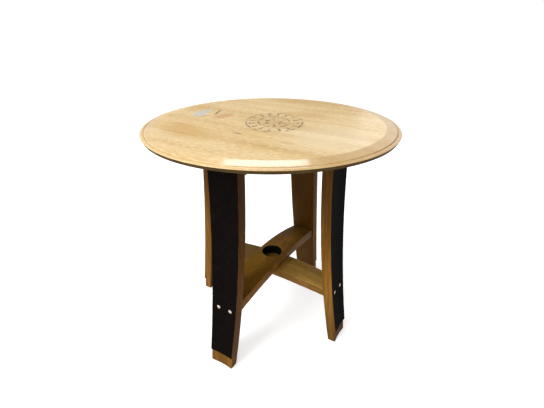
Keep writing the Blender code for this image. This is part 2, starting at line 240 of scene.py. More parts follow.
def foot_round(z):
    """How far a foot's side edges draw in just above the floor."""
    if z >= FOOT_R:
        return 0.0
    return min(FOOT_CUT, FOOT_R - math.sqrt(max(0.0, FOOT_R ** 2 - (FOOT_R - z) ** 2)))


def leg_section(leg, z):
    """Fine closed section: a hollow outer face, worn round edges and a crowned inner face."""
    seed = LEGS[leg][0] * 0.37 + 11.0
    wear_a = worn_radius(0.0, 0.0, z, 38.0, seed)
    wear_b = worn_radius(3.0, 0.0, z, 38.0, seed)
    w = leg_half_width(leg, z) - foot_round(z)
    edge = leg_edge(leg, z) - outer_step(z)
    rise = z - PIVOT_Z
    if leg == "back" and rise > 0.0:
        edge = min(edge, PIVOT_Y + math.sqrt(max(0.0, HEEL_R ** 2 - rise ** 2)))
    inner = leg_edge(leg, z) - STAVE_T
    half = []
    count = 22
    for k in range(count + 1):
        u = 2.0 * k / count - 1.0
        r = edge - HOLLOW * (1.0 - u * u)
        if z > CROZE_HIGH + 0.001:
            r -= 0.00035 * max(0.0, fuzz(u * w, 0.0, z * 0.25, 210.0, seed) + 0.15)
            r -= 0.00025 * max(0.0, fuzz(u * w, 0.3, z, 420.0, seed))
        half.append((u * (w - wear_b if u > 0 else w - wear_a), r))
    top_l = arc((-w + wear_a, edge - wear_a), wear_a, 180.0, 112.0)
    top_r = arc((w - wear_b, edge - wear_b), wear_b, 68.0, 0.0)
    low_r = arc((w - wear_b, inner + wear_b), wear_b, 0.0, -68.0)
    low_l = arc((-w + wear_a, inner + wear_a), wear_a, 248.0, 180.0)
    back = []
    for k in range(count + 1):
        u = 1.0 - 2.0 * k / count
        flat = inner - HOLLOW * (1.0 - u * u)
        r = flat + 0.00012 * fuzz(u * w, 0.7, z * 0.2, 160.0, seed)
        back.append((u * (w - wear_b if u > 0 else w - wear_a), max(r, flat)))
    ring = top_l + half + top_r + low_r + back + low_l
    return [leg_point(leg, u, r, z) for u, r in ring]


def leg_levels(leg):
    """Heights of a leg's sections, close together at the foot, the croze and the head."""
    low = [0.0, 0.0004, 0.0010, 0.0018, 0.0028, 0.0040, 0.0053]
    low += [0.0053 + (0.0278 - 0.0053) * k / 8.0 for k in range(1, 9)]
    low += [0.0284, 0.0287, 0.0290, 0.0293, 0.0311, 0.0329, 0.0333, 0.0336, 0.0341, 0.0352]
    last = PIVOT_Z + 0.0120 if leg == "back" else LEG_TOP - 0.0012
    body = [low[-1] + (last - low[-1]) * k / 120.0 for k in range(1, 121)]
    if leg == "back":
        return low + body + [PIVOT_Z + d for d in (0.0128, 0.0136, 0.0143, 0.0148, 0.0152, 0.0155)]
    return low + body + [LEG_TOP - 0.0004, LEG_TOP]


def screw_tool(size):
    """Profile of the countersunk hole for one size of screw."""
    head, shank, length = size[0] + GAP, size[1] + GAP, size[2] + GAP
    return [(head, 0.006), (head, -0.0008), (shank, -0.0036), (shank, -length)]


def screw_spots():
    """(name, pieces it passes through, head centre, outward direction, size)."""
    spots = []
    arms = {"front": "stretcher_upper", "back": "stretcher_upper",
            "right": "stretcher_lower", "left": "stretcher_lower"}
    braces = {"front": "brace_long", "back": "brace_long", "right": "brace_cross", "left": "brace_cross"}
    for leg in LEGS:
        out, _ = leg_frame(leg)
        for side, u in (("a", -LEG_SCREW_U), ("b", LEG_SCREW_U)):
            z = LEG_SCREW_Z[leg]
            spots.append((f"leg_screw_{leg}_{side}", ("leg_" + leg, arms[leg]),
                          leg_point(leg, u, leg_outer(leg, u, z) - 0.0004, z), out, LEG_SCREW))
        r = leg_outer(leg, 0.0, BRACE_SCREW_Z) - 0.0004
        spots.append((f"brace_screw_{leg}", ("leg_" + leg, braces[leg]),
                      leg_point(leg, 0.0, r, BRACE_SCREW_Z), out, LEG_SCREW))
    edges = (BATTEN_ROW_ENDS[0], *SEAMS, BATTEN_ROW_ENDS[1])
    rows = [0.5 * (a + b) for a, b in zip(edges, edges[1:])]
    middle = 0.5 * (BATTEN_IN + BATTEN_OUT)
    down = Vector((0, 0, -1))
    for side, x in (("left", -middle), ("right", middle)):
        for k, y in enumerate(rows):
            spots.append((f"batten_screw_{side}_{k + 1}", (f"batten_{side}", f"head_board_{k + 1}"),
                          BASE + Vector((x, y, Z_UNDER - BATTEN_T + 0.0002)), down, BATTEN_SCREW))
    low = LOWER["top"] - LOWER["t"] + 0.0004
    for side, x in (("a", -CROSS_SCREW_X), ("b", CROSS_SCREW_X)):
        spots.append((f"cross_screw_{side}", ("stretcher_lower", "stretcher_upper"),
                      BASE + Vector((x, 0.0, low - 0.0006)), down, CROSS_SCREW))
    spots.append(("brace_middle_screw", ("brace_long", "brace_cross"),
                  BASE + Vector((0.0, 0.0, BRACE_LOW + 0.0002)), down, LAP_SCREW))
    return spots


SPOTS = screw_spots()
PIVOT_FRAME = facing(BASE + Vector((0.0, PIVOT_Y, PIVOT_Z)), (1.0, 0.0, 0.0))
CATCH_FRAME = facing(BASE + Vector((0.0, CATCH_Y, CATCH_Z)), (1.0, 0.0, 0.0))


def holes_for(name):
    """The closed shapes to take out of one piece."""
    bm = bmesh.new()
    for _, through, head, outward, size in SPOTS:
        if name in through:
            turned(bm, screw_tool(size), facing(head, outward), 24)
    if name == "leg_back":
        turned(bm, [(PIVOT_R + RUN, -0.08), (PIVOT_R + RUN, 0.08)], PIVOT_FRAME, 32)
    if name == "leg_front":
        turned(bm, [(CATCH_R + GAP, 0.020), (CATCH_R + GAP, 0.050)], CATCH_FRAME, 24)
    if name == "stretcher_upper":
        turned(bm, [(BUNG_R, 0.150), (BUNG_R, 0.2008), (BUNG_R + 0.0005, 0.2018), (BUNG_R + 0.0016, 0.2034),
                    (BUNG_R + 0.0016, 0.230)], Matrix.Translation(BASE), 64)
    return bm


def stretcher_mesh(axis, legs, spec, seed):
    """Bowed plank with worn edges, its ends cut to the inner faces of two legs."""
    bm = bmesh.new()
    stations, count = 90, 18
    half = 0.5 * (leg_inner(legs[0], 0.0, spec["ends"]) + leg_inner(legs[1], 0.0, spec["ends"]))
    rings = []
    for k in range(stations + 1):
        t = 2.0 * k / stations - 1.0
        top = spec["top"] - (spec["top"] - spec["ends"]) * t * t + spec["skew"] * t
        low = top - spec["t"] - spec["droop"] * t * t
        w = 0.5 * (spec["mid_w"] - (spec["mid_w"] - spec["end_w"]) * t * t)
        a = worn_radius(t, 0.0, 0.0, 7.0, seed)
        b = worn_radius(t, 4.0, 0.0, 7.0, seed)
        face = []
        for i in range(count + 1):
            u = 2.0 * i / count - 1.0
            dent = 0.00022 * max(0.0, fuzz(t * half, u * w * 6.0, 0.0, 55.0, seed))
            face.append((u * (w - b if u > 0 else w - a), top - CROWN * u * u - dent))
        under = [((1.0 - 2.0 * i / count) * (w - 0.0012), low) for i in range(count + 1)]
        edge = top - CROWN
        ring = arc((-w + a, edge - a), a, 180.0, 110.0) + face + arc((w - b, edge - b), b, 70.0, 0.0)
        ring += arc((w - b, low + b), b, 0.0, -70.0) + under + arc((-w + a, low + a), a, 250.0, 180.0)
        points = []
        for u, z in ring:
            along = t * half
            if k in (0, stations):
                reach = leg_inner(legs[0] if k == 0 else legs[1], u, z) - GAP
                along = -reach if k == 0 else reach
            points.append(BASE + (Vector((along, u, z)) if axis == "X" else Vector((u, along, z))))
        rings.append(points)
    loft(bm, rings)
    return bm


# ---------------------------------------------------------------- top boards

# (radius, z) from the underside round the lip, up the bevel with its groove, to the flat
RIM = [(0.2660, Z_UNDER), (0.2680, 0.54125), (0.2852, 0.5462), (0.2860, 0.5465), (0.2865, 0.5472),
       (0.2897, 0.5536), (0.2899, 0.5543), (0.2893, 0.5550), (0.2880, 0.55545), (0.2830, 0.5566),
       (0.2823, 0.5566), (0.2819, 0.5560), (0.2815, 0.55585), (0.2811, 0.5561), (0.2807, 0.5570),
       (0.2800, 0.55775), (0.2700, 0.55935), (0.2600, 0.5608), (0.2585, 0.56105), (0.2565, Z_FLAT),
       (0.2520, Z_FLAT)]


def board_mesh(low, high):
    """The turned disc between two planes across Y, with eased seams."""
    bm = bmesh.new()
    turned(bm, RIM, Matrix.Identity(4), 288)
    bmesh.ops.recalc_face_normals(bm, faces=bm.faces)
    for y, normal in ((low, -1.0), (high, 1.0)):
        if abs(y) >= R_TOP:
            continue
        geom = bm.verts[:] + bm.edges[:] + bm.faces[:]
        bmesh.ops.bisect_plane(bm, geom=geom, dist=1e-7, plane_co=(0.0, y, 0.0),
                               plane_no=(0.0, normal, 0.0), clear_outer=True)
        rim = [e for e in bm.edges if e.is_boundary]
        bmesh.ops.edgenet_fill(bm, edges=rim)
    seams = []
    for edge in bm.edges:
        ys = [v.co.y for v in edge.verts]
        zs = [v.co.z for v in edge.verts]
        on_cut = any(abs(y) < R_TOP and max(abs(a - y) for a in ys) < 1e-6 for y in (low, high))
        if on_cut and min(zs) > Z_FLAT - 1e-5:
            seams.append(edge)
    bmesh.ops.bevel(bm, geom=seams, offset=SEAM_EASE, segments=2, affect="EDGES", profile=0.5)
    return bm


# ---------------------------------------------------------------- screws and turned metal


def screw_mesh(size):
    """Countersunk screw with a cross recess, head at local z = 0."""
    head, shank, length = size
    bm = bmesh.new()
    profile = [(head - 0.0003, 0.0), (head - 0.0001, -0.0001), (head, -0.0004), (head, -0.0008),
               (shank, -0.0036), (shank, -0.010)]
    half_pitch, root = 0.0007, shank * 0.72
    z, crest = -0.010, True
    while z > -length + 0.006:
        z -= half_pitch
        profile.append((shank if crest else root, z))
        crest = not crest
    profile += [(shank * 0.8, -length + 0.004), (0.0004, -length)]
    turned(bm, profile, Matrix.Identity(4), 24)
    tool = bmesh.new()
    arm, wide, deep = head * 0.60, head * 0.13, 0.0022
    outline = [(arm, -wide), (arm, wide), (wide, wide), (wide, arm), (-wide, arm), (-wide, wide),
               (-arm, wide), (-arm, -wide), (-wide, -wide), (-wide, -arm), (wide, -arm), (wide, -wide)]
    upper = [tool.verts.new((x, y, 0.001)) for x, y in outline]
    lower = [tool.verts.new((x * 0.55, y * 0.55, -deep)) for x, y in outline]
    for i in range(12):
        j = (i + 1) % 12
        tool.faces.new((upper[i], upper[j], lower[j], lower[i]))
    tool.faces.new(upper)
    tool.faces.new(list(reversed(lower)))
    return carved("screw", bm, tool)


# ---------------------------------------------------------------- material helpers


class Tree:
    """A material under construction."""

    def __init__(self, name):
        self.mat = bpy.data.materials.new(name)
        self.mat.use_nodes = True
        self.nodes = self.mat.node_tree.nodes
        self.links = self.mat.node_tree.links
        self.shader = self.nodes["Principled BSDF"]
        self.coords = self.nodes.new("ShaderNodeTexCoord")
        self.pos = self.coords.outputs["Object"]
        self.normal = self.coords.outputs["Normal"]
        self.height = None

    def put(self, socket, value):
        """Give a socket a link, a colour or a number."""
        if isinstance(value, bpy.types.NodeSocket):
            self.links.new(value, socket)
        elif isinstance(value, (tuple, list)) and len(value) == 3 and len(socket.default_value) == 4:
            socket.default_value = (*value, 1.0)
        else:
            socket.default_value = value

    def math(self, op, a, b=0.0):
        node = self.nodes.new("ShaderNodeMath")
        node.operation = op
        self.put(node.inputs[0], a)
        self.put(node.inputs[1], b)
        return node.outputs[0]

    def plus(self, a, b):
        return self.math("ADD", a, b)

    def minus(self, a, b):
        return self.math("SUBTRACT", a, b)

    def times(self, a, b):
        return self.math("MULTIPLY", a, b)

    def most(self, a, b):
        return self.math("MAXIMUM", a, b)

    def mix(self, fac, a, b):
        """Colour from a to b."""
        node = self.nodes.new("ShaderNodeMix")
        node.data_type = "RGBA"
        self.put(node.inputs[0], fac)
        self.put(node.inputs[6], a)
        self.put(node.inputs[7], b)
        return node.outputs[2]

    def blend(self, fac, a, b):
        """Number from a to b."""
        node = self.nodes.new("ShaderNodeMix")
        self.put(node.inputs[0], fac)
        self.put(node.inputs[2], a)
        self.put(node.inputs[3], b)
        return node.outputs[0]

    def step(self, value, low, high, to=(0.0, 1.0)):
        """Smooth step of value between low and high."""
        node = self.nodes.new("ShaderNodeMapRange")
        node.interpolation_type = "SMOOTHSTEP"
        self.put(node.inputs["Value"], value)
        for key, number in (("From Min", low), ("From Max", high), ("To Min", to[0]), ("To Max", to[1])):
            self.put(node.inputs[key], number)
        return node.outputs[0]

    def between(self, value, rise, fall):
        """1 from the end of rise to the start of fall, and 0 outside them."""
        return self.times(self.step(value, *rise), self.step(value, *fall, (1.0, 0.0)))

    def ragged(self, value, scale, detail, amount):
        """value shaken by noise, up to half of amount each way."""
        return self.plus(value, self.times(self.minus(self.noise(self.pos, scale, detail), 0.5), amount))

    def place(self, vector, loc=(0, 0, 0), rot=(0, 0, 0), scale=(1, 1, 1), kind="POINT"):
        node = self.nodes.new("ShaderNodeMapping")
        node.vector_type = kind
        self.put(node.inputs["Vector"], vector)
        node.inputs["Location"].default_value = loc
        node.inputs["Rotation"].default_value = rot
        node.inputs["Scale"].default_value = scale
        return node.outputs[0]

    def noise(self, vector, scale, detail=4.0, rough=0.55, colour=False):
        node = self.nodes.new("ShaderNodeTexNoise")
        self.put(node.inputs["Vector"], vector)
        node.inputs["Scale"].default_value = scale
        node.inputs["Detail"].default_value = detail
        node.inputs["Roughness"].default_value = rough
        return node.outputs["Color" if colour else "Fac"]

    def cell_edge(self, vector, scale):
        """Distance to the nearest border between random cells."""
        node = self.nodes.new("ShaderNodeTexVoronoi")
        node.feature = "DISTANCE_TO_EDGE"
        self.put(node.inputs["Vector"], vector)
        node.inputs["Scale"].default_value = scale
        return node.outputs["Distance"]

    def wave(self, vector, scale, distortion, detail, detail_scale, axis):
        node = self.nodes.new("ShaderNodeTexWave")
        node.bands_direction = axis
        self.put(node.inputs["Vector"], vector)
        node.inputs["Scale"].default_value = scale
        node.inputs["Distortion"].default_value = distortion
        node.inputs["Detail"].default_value = detail
        node.inputs["Detail Scale"].default_value = detail_scale
        return node.outputs["Fac"]

    def ramp(self, fac, stops):
        node = self.nodes.new("ShaderNodeValToRGB")
        self.put(node.inputs["Fac"], fac)
        ramp = node.color_ramp
        while len(ramp.elements) < len(stops):
            ramp.elements.new(0.5)
        for element, (at, colour) in zip(ramp.elements, stops):
            element.position = at
            element.color = (*colour, 1.0)
        return node.outputs["Color"]

    def axis(self, vector, which):
        node = self.nodes.new("ShaderNodeSeparateXYZ")
        self.put(node.inputs[0], vector)
        return node.outputs[which]

    def vector(self, op, a, b=(0, 0, 0), out=0):
        """Vector sum; out=1 gives its number, such as a length."""
        node = self.nodes.new("ShaderNodeVectorMath")
        node.operation = op
        self.put(node.inputs[0], a)
        if not isinstance(b, (int, float)):
            self.put(node.inputs[1], b)
        else:
            node.inputs["Scale"].default_value = b
        return node.outputs[out]

    def wobble(self, amount, scale):
        """Position pushed about by noise."""
        shake = self.vector("SUBTRACT", self.noise(self.pos, scale, 3.0, colour=True), (0.5, 0.5, 0.5))
        return self.vector("ADD", self.pos, self.vector("SCALE", shake, amount))

    def spot(self, vector, x, y, rx, ry, turn, soft):
        """1 inside an ellipse on the top, falling to 0 at its rim."""
        local = self.place(vector, (x, y, Z_FLAT), (0, 0, math.radians(turn)), (rx, ry, 1000.0), "TEXTURE")
        return self.step(self.vector("LENGTH", local, out=1), 1.0 - soft, 1.0, (1.0, 0.0))

    def from_middle(self, middle=(0.0, 0.0, 0.0)):
        """Level distance from a vertical axis."""
        flat = self.vector("MULTIPLY", self.vector("SUBTRACT", self.pos, middle), (1.0, 1.0, 0.0))
        return self.vector("LENGTH", flat, out=1)

    def bump(self, height, strength, distance):
        node = self.nodes.new("ShaderNodeBump")
        node.inputs["Strength"].default_value = strength
        node.inputs["Distance"].default_value = distance
        self.put(node.inputs["Height"], height)
        if self.height:
            self.put(node.inputs["Normal"], self.height)
        self.height = node.outputs[0]

    def done(self, colour, roughness, metallic=0.0, coat=0.0, coat_rough=0.2, specular=0.5):
        self.put(self.shader.inputs["Base Color"], colour)
        self.put(self.shader.inputs["Roughness"], roughness)
        self.shader.inputs["Metallic"].default_value = metallic
        self.put(self.shader.inputs["Coat Weight"], coat)
        self.shader.inputs["Coat Roughness"].default_value = coat_rough
        self.put(self.shader.inputs["Specular IOR Level"], specular)
        if self.height:
            self.put(self.shader.inputs["Normal"], self.height)
        return self.mat


def stretched(t, run, seed, squeeze):
    """The piece's own space, its texture drawn out along run ('X', 'Y' or 'Z')."""
    own = t.place(t.pos, (seed * 1.7, seed * 0.9, seed * 0.4))
    return t.place(own, scale=tuple(squeeze if axis == run else 1.0 for axis in "XYZ"))


def grain(t, run, seed, ring_scale):
    """Oak figure along run: slow tone, growth lines and pores, each 0 to 1."""
    long_ = stretched(t, run, seed, 0.10)
    tone = t.noise(long_, 16.0, 4.0, 0.6)
    warp = t.vector("ADD", long_, t.vector("SCALE", t.noise(long_, 9.0, 2.0, colour=True), 0.035))
    lines = t.wave(warp, ring_scale, 2.2, 3.0, 2.0, {"X": "Y", "Y": "X", "Z": "DIAGONAL"}[run])
    pores = t.noise(stretched(t, run, seed, 0.035), 900.0, 3.0, 0.7)
    return tone, lines, pores


HONEY = {"light": (0.82, 0.635, 0.335), "mid": (0.725, 0.515, 0.215), "dark": (0.56, 0.345, 0.100)}
BOARD_TONE = {1: 0.03, 2: -0.04, 3: 0.02, 4: 0.05, 5: -0.03, 6: 0.02, 7: -0.02}
STAINS = (      # x, y, half length, half width, turn in degrees, strength
    (-0.105, -0.165, 0.115, 0.060, -8.0, 0.70), (0.045, 0.100, 0.085, 0.060, 10.0, 0.50),
    (-0.150, -0.130, 0.060, 0.022, 0.0, 0.60), (-0.060, 0.215, 0.110, 0.040, 20.0, 0.45),
    (-0.230, 0.020, 0.040, 0.090, 0.0, 0.40),
)
SEAM_DIRT = (   # x, y, half length
    (0.075, 0.0435, 0.040), (-0.015, 0.0425, 0.030), (0.214, 0.0415, 0.038),
    (-0.170, -0.1225, 0.034), (0.110, -0.1225, 0.030), (-0.150, 0.1075, 0.050),
    (0.060, 0.1075, 0.045), (0.150, 0.1675, 0.050), (-0.120, -0.1785, 0.080),
)
MARK_AT = (0.010, -0.002, Z_FLAT)


def stains_and_glare(t, colour):
    """A painted glare that pales the wood right of the middle, honey stains, a red-brown patch and a grey
    one.
    """
    shaky = t.wobble(0.018, 34.0)
    # Painted highlight: soft glare on the right of the top, painted as paler wood.
    painted_glare = t.spot(shaky, 0.175, -0.050, 0.150, 0.150, 0.0, 0.95)
    colour = t.mix(t.times(painted_glare, 0.55), colour, (0.86, 0.730, 0.500))
    for x, y, rx, ry, turn, amount in STAINS:
        stain = t.spot(shaky, x, y, rx, ry, turn, 0.8)
        colour = t.mix(t.times(stain, amount), colour, (0.585, 0.350, 0.095))
    red = t.spot(shaky, -0.122, -0.022, 0.022, 0.036, -12.0, 0.6)
    colour = t.mix(t.times(red, 0.60), colour, (0.52, 0.235, 0.070))
    grey = t.spot(shaky, -0.188, -0.020, 0.022, 0.046, 14.0, 0.55)
    return t.mix(t.times(grey, 0.75), colour, (0.46, 0.52, 0.50))


def stroke_mask(t):
    """Three dark strokes on the left and dirt along the seams."""
    small = t.wobble(0.006, 120.0)
    marks = t.spot(small, -0.158, 0.004, 0.0040, 0.040, 22.0, 0.6)
    marks = t.most(marks, t.spot(small, -0.161, -0.042, 0.0035, 0.020, -30.0, 0.6))
    marks = t.most(marks, t.spot(small, -0.008, -0.1205, 0.014, 0.0032, -4.0, 0.5))
    for x, y, rx in SEAM_DIRT:
        marks = t.most(marks, t.times(t.spot(small, x, y, rx, 0.0017, 0.0, 0.6), 0.62))
    return marks


def brand_mask(t):
    """A plain burnt rosette: three worn rings, short radial bars and a fan in a faint halo."""
    local = t.place(t.wobble(0.0050, 130.0), MARK_AT, (0, 0, VIEW_TURN), (0.96, 1.22, 1000.0), "TEXTURE")
    r = t.vector("LENGTH", local, out=1)
    angle = t.math("ARCTAN2", t.axis(local, 1), t.axis(local, 0))

    def ring(radius, half):
        return t.step(t.math("ABSOLUTE", t.minus(r, radius)), half * 0.6, half * 1.3, (1.0, 0.0))

    def spokes(pairs, low, high):
        return t.step(t.math("ABSOLUTE", t.math("SINE", t.times(angle, pairs))), low, high)

    lines = t.most(ring(0.067, 0.0022), t.most(ring(0.037, 0.0024), ring(0.018, 0.0020)))
    lines = t.most(lines, t.times(spokes(8.0, 0.86, 0.95), t.between(r, (0.044, 0.047), (0.060, 0.063))))
    lines = t.most(lines, t.times(spokes(3.0, 0.90, 0.97), t.between(r, (0.009, 0.012), (0.030, 0.033))))
    worn = t.step(t.noise(t.pos, 75.0, 4.0, 0.7), 0.42, 0.54)
    halo = t.times(t.step(r, 0.045, 0.085, (0.16, 0.0)), t.noise(t.pos, 60.0, 3.0))
    return t.most(t.times(lines, worn), halo)


def board_material(k):
    """Varnished oak head board: marked flat with a painted glare on its right, bevel with a darker groove and
    painted shade towards the right, rim side darkened by painted shade over dark varnish, bare underside.
    """
    t = Tree(f"head_board_{k}")
    seed = 3.1 * k + 0.7
    tone, lines, pores = grain(t, "X", seed, 60.0)
    mixed = t.plus(t.times(tone, 0.95), BOARD_TONE[k] - 0.02)
    colour = t.ramp(mixed, [(0.30, HONEY["dark"]), (0.47, HONEY["mid"]), (0.66, HONEY["light"])])
    colour = t.mix(t.times(lines, 0.30), colour, (0.60, 0.36, 0.15))
    pore_mask = t.step(pores, 0.54, 0.68)
    colour = t.mix(t.times(pore_mask, 0.34), colour, (0.40, 0.215, 0.085))
    rays = t.noise(stretched(t, "X", seed, 0.50), 190.0, 2.0, 0.5)
    colour = t.mix(t.step(rays, 0.60, 0.76, (0.0, 0.22)), colour, (0.86, 0.69, 0.44))
    fleck = t.noise(t.place(t.wobble(0.004, 90.0), scale=(0.30, 1.0, 1.0)), 260.0, 3.0, 0.65)
    colour = t.mix(t.step(fleck, 0.50, 0.64, (0.0, 0.42)), colour, (0.50, 0.305, 0.100))
    colour = t.mix(t.step(fleck, 0.47, 0.34, (0.0, 0.50)), colour, (0.90, 0.760, 0.480))
    colour = stains_and_glare(t, colour)
    strokes, brand = stroke_mask(t), brand_mask(t)
    colour = t.mix(t.times(strokes, 0.80), colour, (0.16, 0.080, 0.030))
    colour = t.mix(t.times(brand, 0.88), colour, (0.145, 0.070, 0.022))

    radius = t.from_middle()
    bevel = t.between(radius, (0.2565, 0.2590), (0.2895, 0.2905))
    colour = t.mix(t.times(bevel, 0.22), colour, (0.66, 0.410, 0.165))
    # Painted shade: the bevel darkens towards the right, the side turned away from the key light.
    right = t.times(bevel, t.step(t.axis(t.pos, 0), 0.02, 0.20, (0.0, 0.50)))
    colour = t.mix(right, colour, (0.42, 0.250, 0.095))
    polished = t.times(bevel, t.step(t.axis(t.pos, 1), -0.05, -0.20))
    # The groove is darker, in patches along it.
    groove = t.between(radius, (0.2806, 0.2812), (0.2820, 0.2828))
    dirt = t.step(t.noise(t.pos, 26.0, 4.0, 0.6), 0.36, 0.60, (0.15, 0.85))
    colour = t.mix(t.times(groove, dirt), colour, (0.24, 0.120, 0.040))

    # Painted shade: the rim's side below the lip is dark varnish made much darker still, in patches; faces
    # turned down keep the bare underside.
    under = t.step(t.axis(t.pos, 2), 0.5536, 0.5547, (1.0, 0.0))
    rim_shade_mottle = t.noise(t.place(t.pos, scale=(1, 1, 0.4)), 40.0, 4.0)
    side = t.mix(rim_shade_mottle, (0.028, 0.014, 0.0022), (0.085, 0.052, 0.022))
    below = t.step(t.axis(t.normal, 2), -0.75, -0.95)
    bare = t.ramp(tone, [(0.32, (0.130, 0.068, 0.020)), (0.66, (0.270, 0.158, 0.058))])
    side = t.mix(below, side, t.mix(t.times(pore_mask, 0.4), bare, (0.055, 0.026, 0.008)))
    colour = t.mix(under, colour, side)

    rough = t.blend(t.noise(t.wobble(0.01, 60.0), 90.0, 3.0), 0.26, 0.42)
    relief = t.minus(t.times(lines, 0.25), t.times(pore_mask, 0.6))
    t.bump(t.minus(relief, t.times(t.most(strokes, brand), 0.9)), 0.35, 0.0004)
    coat = t.blend(under, t.blend(polished, 0.16, 0.60), 0.0)
    return t.done(colour, t.blend(under, rough, 0.75), coat=coat, coat_rough=0.14,
                  specular=t.blend(under, 0.24, 0.03))


def leg_material(leg):
    """Stave: charred outer face, bare end band, brown edges, brown inner face deepened by painted shade,
    painted shade on faces turned right and towards the top, croze lightened by a painted highlight.
    """
    t = Tree("leg_" + leg)
    out, _ = leg_frame(leg)
    height = t.axis(t.pos, 2)
    tone, lines, pores = grain(t, "Z", LEGS[leg][0] * 0.05 + 7.0, 46.0)
    wood = t.ramp(tone, [(0.32, (0.105, 0.040, 0.0030)), (0.50, (0.185, 0.080, 0.010)),
                         (0.68, (0.280, 0.138, 0.025))])
    wood = t.mix(t.times(lines, 0.35), wood, (0.080, 0.028, 0.004))
    pore_mask = t.step(pores, 0.53, 0.66)
    wood = t.mix(t.times(pore_mask, 0.5), wood, (0.040, 0.014, 0.003))
    # Painted shade: faces turned to the right, away from the key light, are darkened.
    rightward = t.vector("DOT_PRODUCT", t.normal, (1.0, 0.0, 0.0), out=1)
    wood = t.mix(t.step(rightward, 0.5, 0.9, (0.0, 0.74)), wood, (0.046, 0.014, 0.0006))
    # Painted shade: the wood darkens towards the top of the leg, under the table top.
    wood = t.mix(t.step(height, 0.20, 0.48, (0.0, 0.58)), wood, (0.024, 0.008, 0.0004))
    if leg == "right":
        wood = t.mix(t.step(height, 0.02, 0.20, (0.62, 0.0)), wood, (0.055, 0.022, 0.002))

    outward = t.vector("DOT_PRODUCT", t.normal, tuple(out), out=1)
    # Painted shade: the inner face is brown wood made much darker.
    cloud = t.noise(t.place(t.pos, scale=(1, 1, 0.3)), 30.0, 4.0)
    inside = t.mix(cloud, (0.022, 0.0075, 0.0002), (0.070, 0.029, 0.0010))
    inside = t.mix(t.times(pore_mask, 0.5), inside, (0.014, 0.005, 0.0008))
    colour = t.mix(t.times(t.step(outward, -0.80, -0.95), 0.85), wood, inside)

    char = t.mix(t.noise(t.pos, 55.0, 5.0, 0.65), (0.0008, 0.0006, 0.0009), (0.0056, 0.0038, 0.0028))
    streak = t.noise(t.place(t.pos, scale=(1, 1, 0.12)), 120.0, 4.0, 0.7)
    char = t.mix(t.step(streak, 0.60, 0.74, (0.0, 0.55)), char, (0.017, 0.009, 0.0035))
    above = t.step(t.ragged(height, 90.0, 3.0, 0.0035), CROZE_LOW - 0.0004, CROZE_LOW + 0.0010)
    burnt = t.times(t.step(t.ragged(outward, 160.0, 4.0, 0.5), 0.66, 0.90), above)
    colour = t.mix(burnt, colour, char)

    # Painted highlight: a lighter line along the croze on the outer face.
    croze = t.between(height, (CROZE_LOW, CROZE_LOW + 0.0006), (CROZE_HIGH - 0.0004, CROZE_HIGH + 0.0006))
    croze = t.times(croze, t.step(outward, 0.3, 0.8))
    colour = t.mix(t.times(croze, 0.75), colour, (0.34, 0.215, 0.110))
    low = t.times(t.step(height, 0.0, 0.012, (1.0, 0.0)), t.noise(t.pos, 70.0, 4.0))
    colour = t.mix(t.times(low, 0.5), colour, (0.050, 0.026, 0.012))

    crack = t.cell_edge(t.place(t.wobble(0.010, 45.0), scale=(1.0, 1.0, 0.42)), 95.0)
    blister = t.step(crack, 0.0, 0.16)
    t.bump(t.blend(burnt, t.times(pore_mask, -0.5), blister), 0.55, 0.0007)
    t.bump(t.noise(t.pos, 700.0, 3.0), 0.12, 0.0003)
    rough = t.blend(burnt, t.blend(tone, 0.40, 0.60), 0.82)
    return t.done(colour, rough, specular=t.blend(burnt, 0.04, 0.02))


STRETCHER_TONE = {      # light and dark wood
    "stretcher_upper": ((0.280, 0.140, 0.015), (0.095, 0.042, 0.0014)),
    "stretcher_lower": ((0.560, 0.340, 0.080), (0.250, 0.138, 0.024)),
}


def stretcher_material(name, run, seed):
    """Weathered stave, darker at one end: mottled upper face, brown edges, dark underside."""
    t = Tree(name)
    light, dark = STRETCHER_TONE[name]
    middle = tuple(0.5 * (a + b) for a, b in zip(light, dark))
    tone, lines, pores = grain(t, run, seed, 52.0)
    wood = t.ramp(tone, [(0.30, dark), (0.50, middle), (0.70, light)])
    wood = t.mix(t.times(lines, 0.35), wood, tuple(0.55 * c for c in dark))
    pore_mask = t.step(pores, 0.52, 0.66)
    wood = t.mix(t.times(pore_mask, 0.55), wood, (0.018, 0.010, 0.002))
    up = t.axis(t.normal, 2)
    side = t.step(t.math("ABSOLUTE", up), 0.72, 0.42)
    edge = t.mix(t.noise(t.pos, 45.0, 4.0), (0.092, 0.034, 0.004), (0.190, 0.082, 0.018))
    edge = t.mix(t.times(pore_mask, 0.45), edge, (0.034, 0.013, 0.003))
    colour = t.mix(t.times(side, 0.85), wood, edge)
    under = t.step(up, -0.5, -0.9)
    colour = t.mix(t.times(under, 0.9), colour, (0.020, 0.015, 0.012))
    if name == "stretcher_lower":
        left = t.step(t.axis(t.pos, 0), 0.030, -0.030, (0.0, 0.86))
        colour = t.mix(left, colour, (0.088, 0.046, 0.010))
    else:
        back = t.step(t.axis(t.pos, 1), 0.060, 0.150, (0.0, 0.55))
        colour = t.mix(back, colour, (0.028, 0.012, 0.0006))
    stain = t.step(t.noise(t.wobble(0.03, 20.0), 24.0, 4.0, 0.6), 0.52, 0.70, (0.0, 0.45))
    colour = t.mix(stain, colour, tuple(0.45 * c for c in dark))
    rough = t.blend(tone, 0.42, 0.64)
    if name == "stretcher_upper":
        radius = t.ragged(t.from_middle(tuple(BASE)), 130.0, 4.0, 0.004)
        bore = t.step(radius, BUNG_R + 0.0012, BUNG_R + 0.0032, (1.0, 0.0))
        colour = t.mix(bore, colour, (0.0022, 0.0022, 0.0026))
        rough = t.blend(bore, rough, 0.85)
    t.bump(t.minus(t.times(lines, 0.3), t.times(pore_mask, 0.7)), 0.45, 0.0005)
    t.bump(t.noise(t.pos, 500.0, 3.0), 0.10, 0.0003)
    return t.done(colour, rough, specular=0.06)


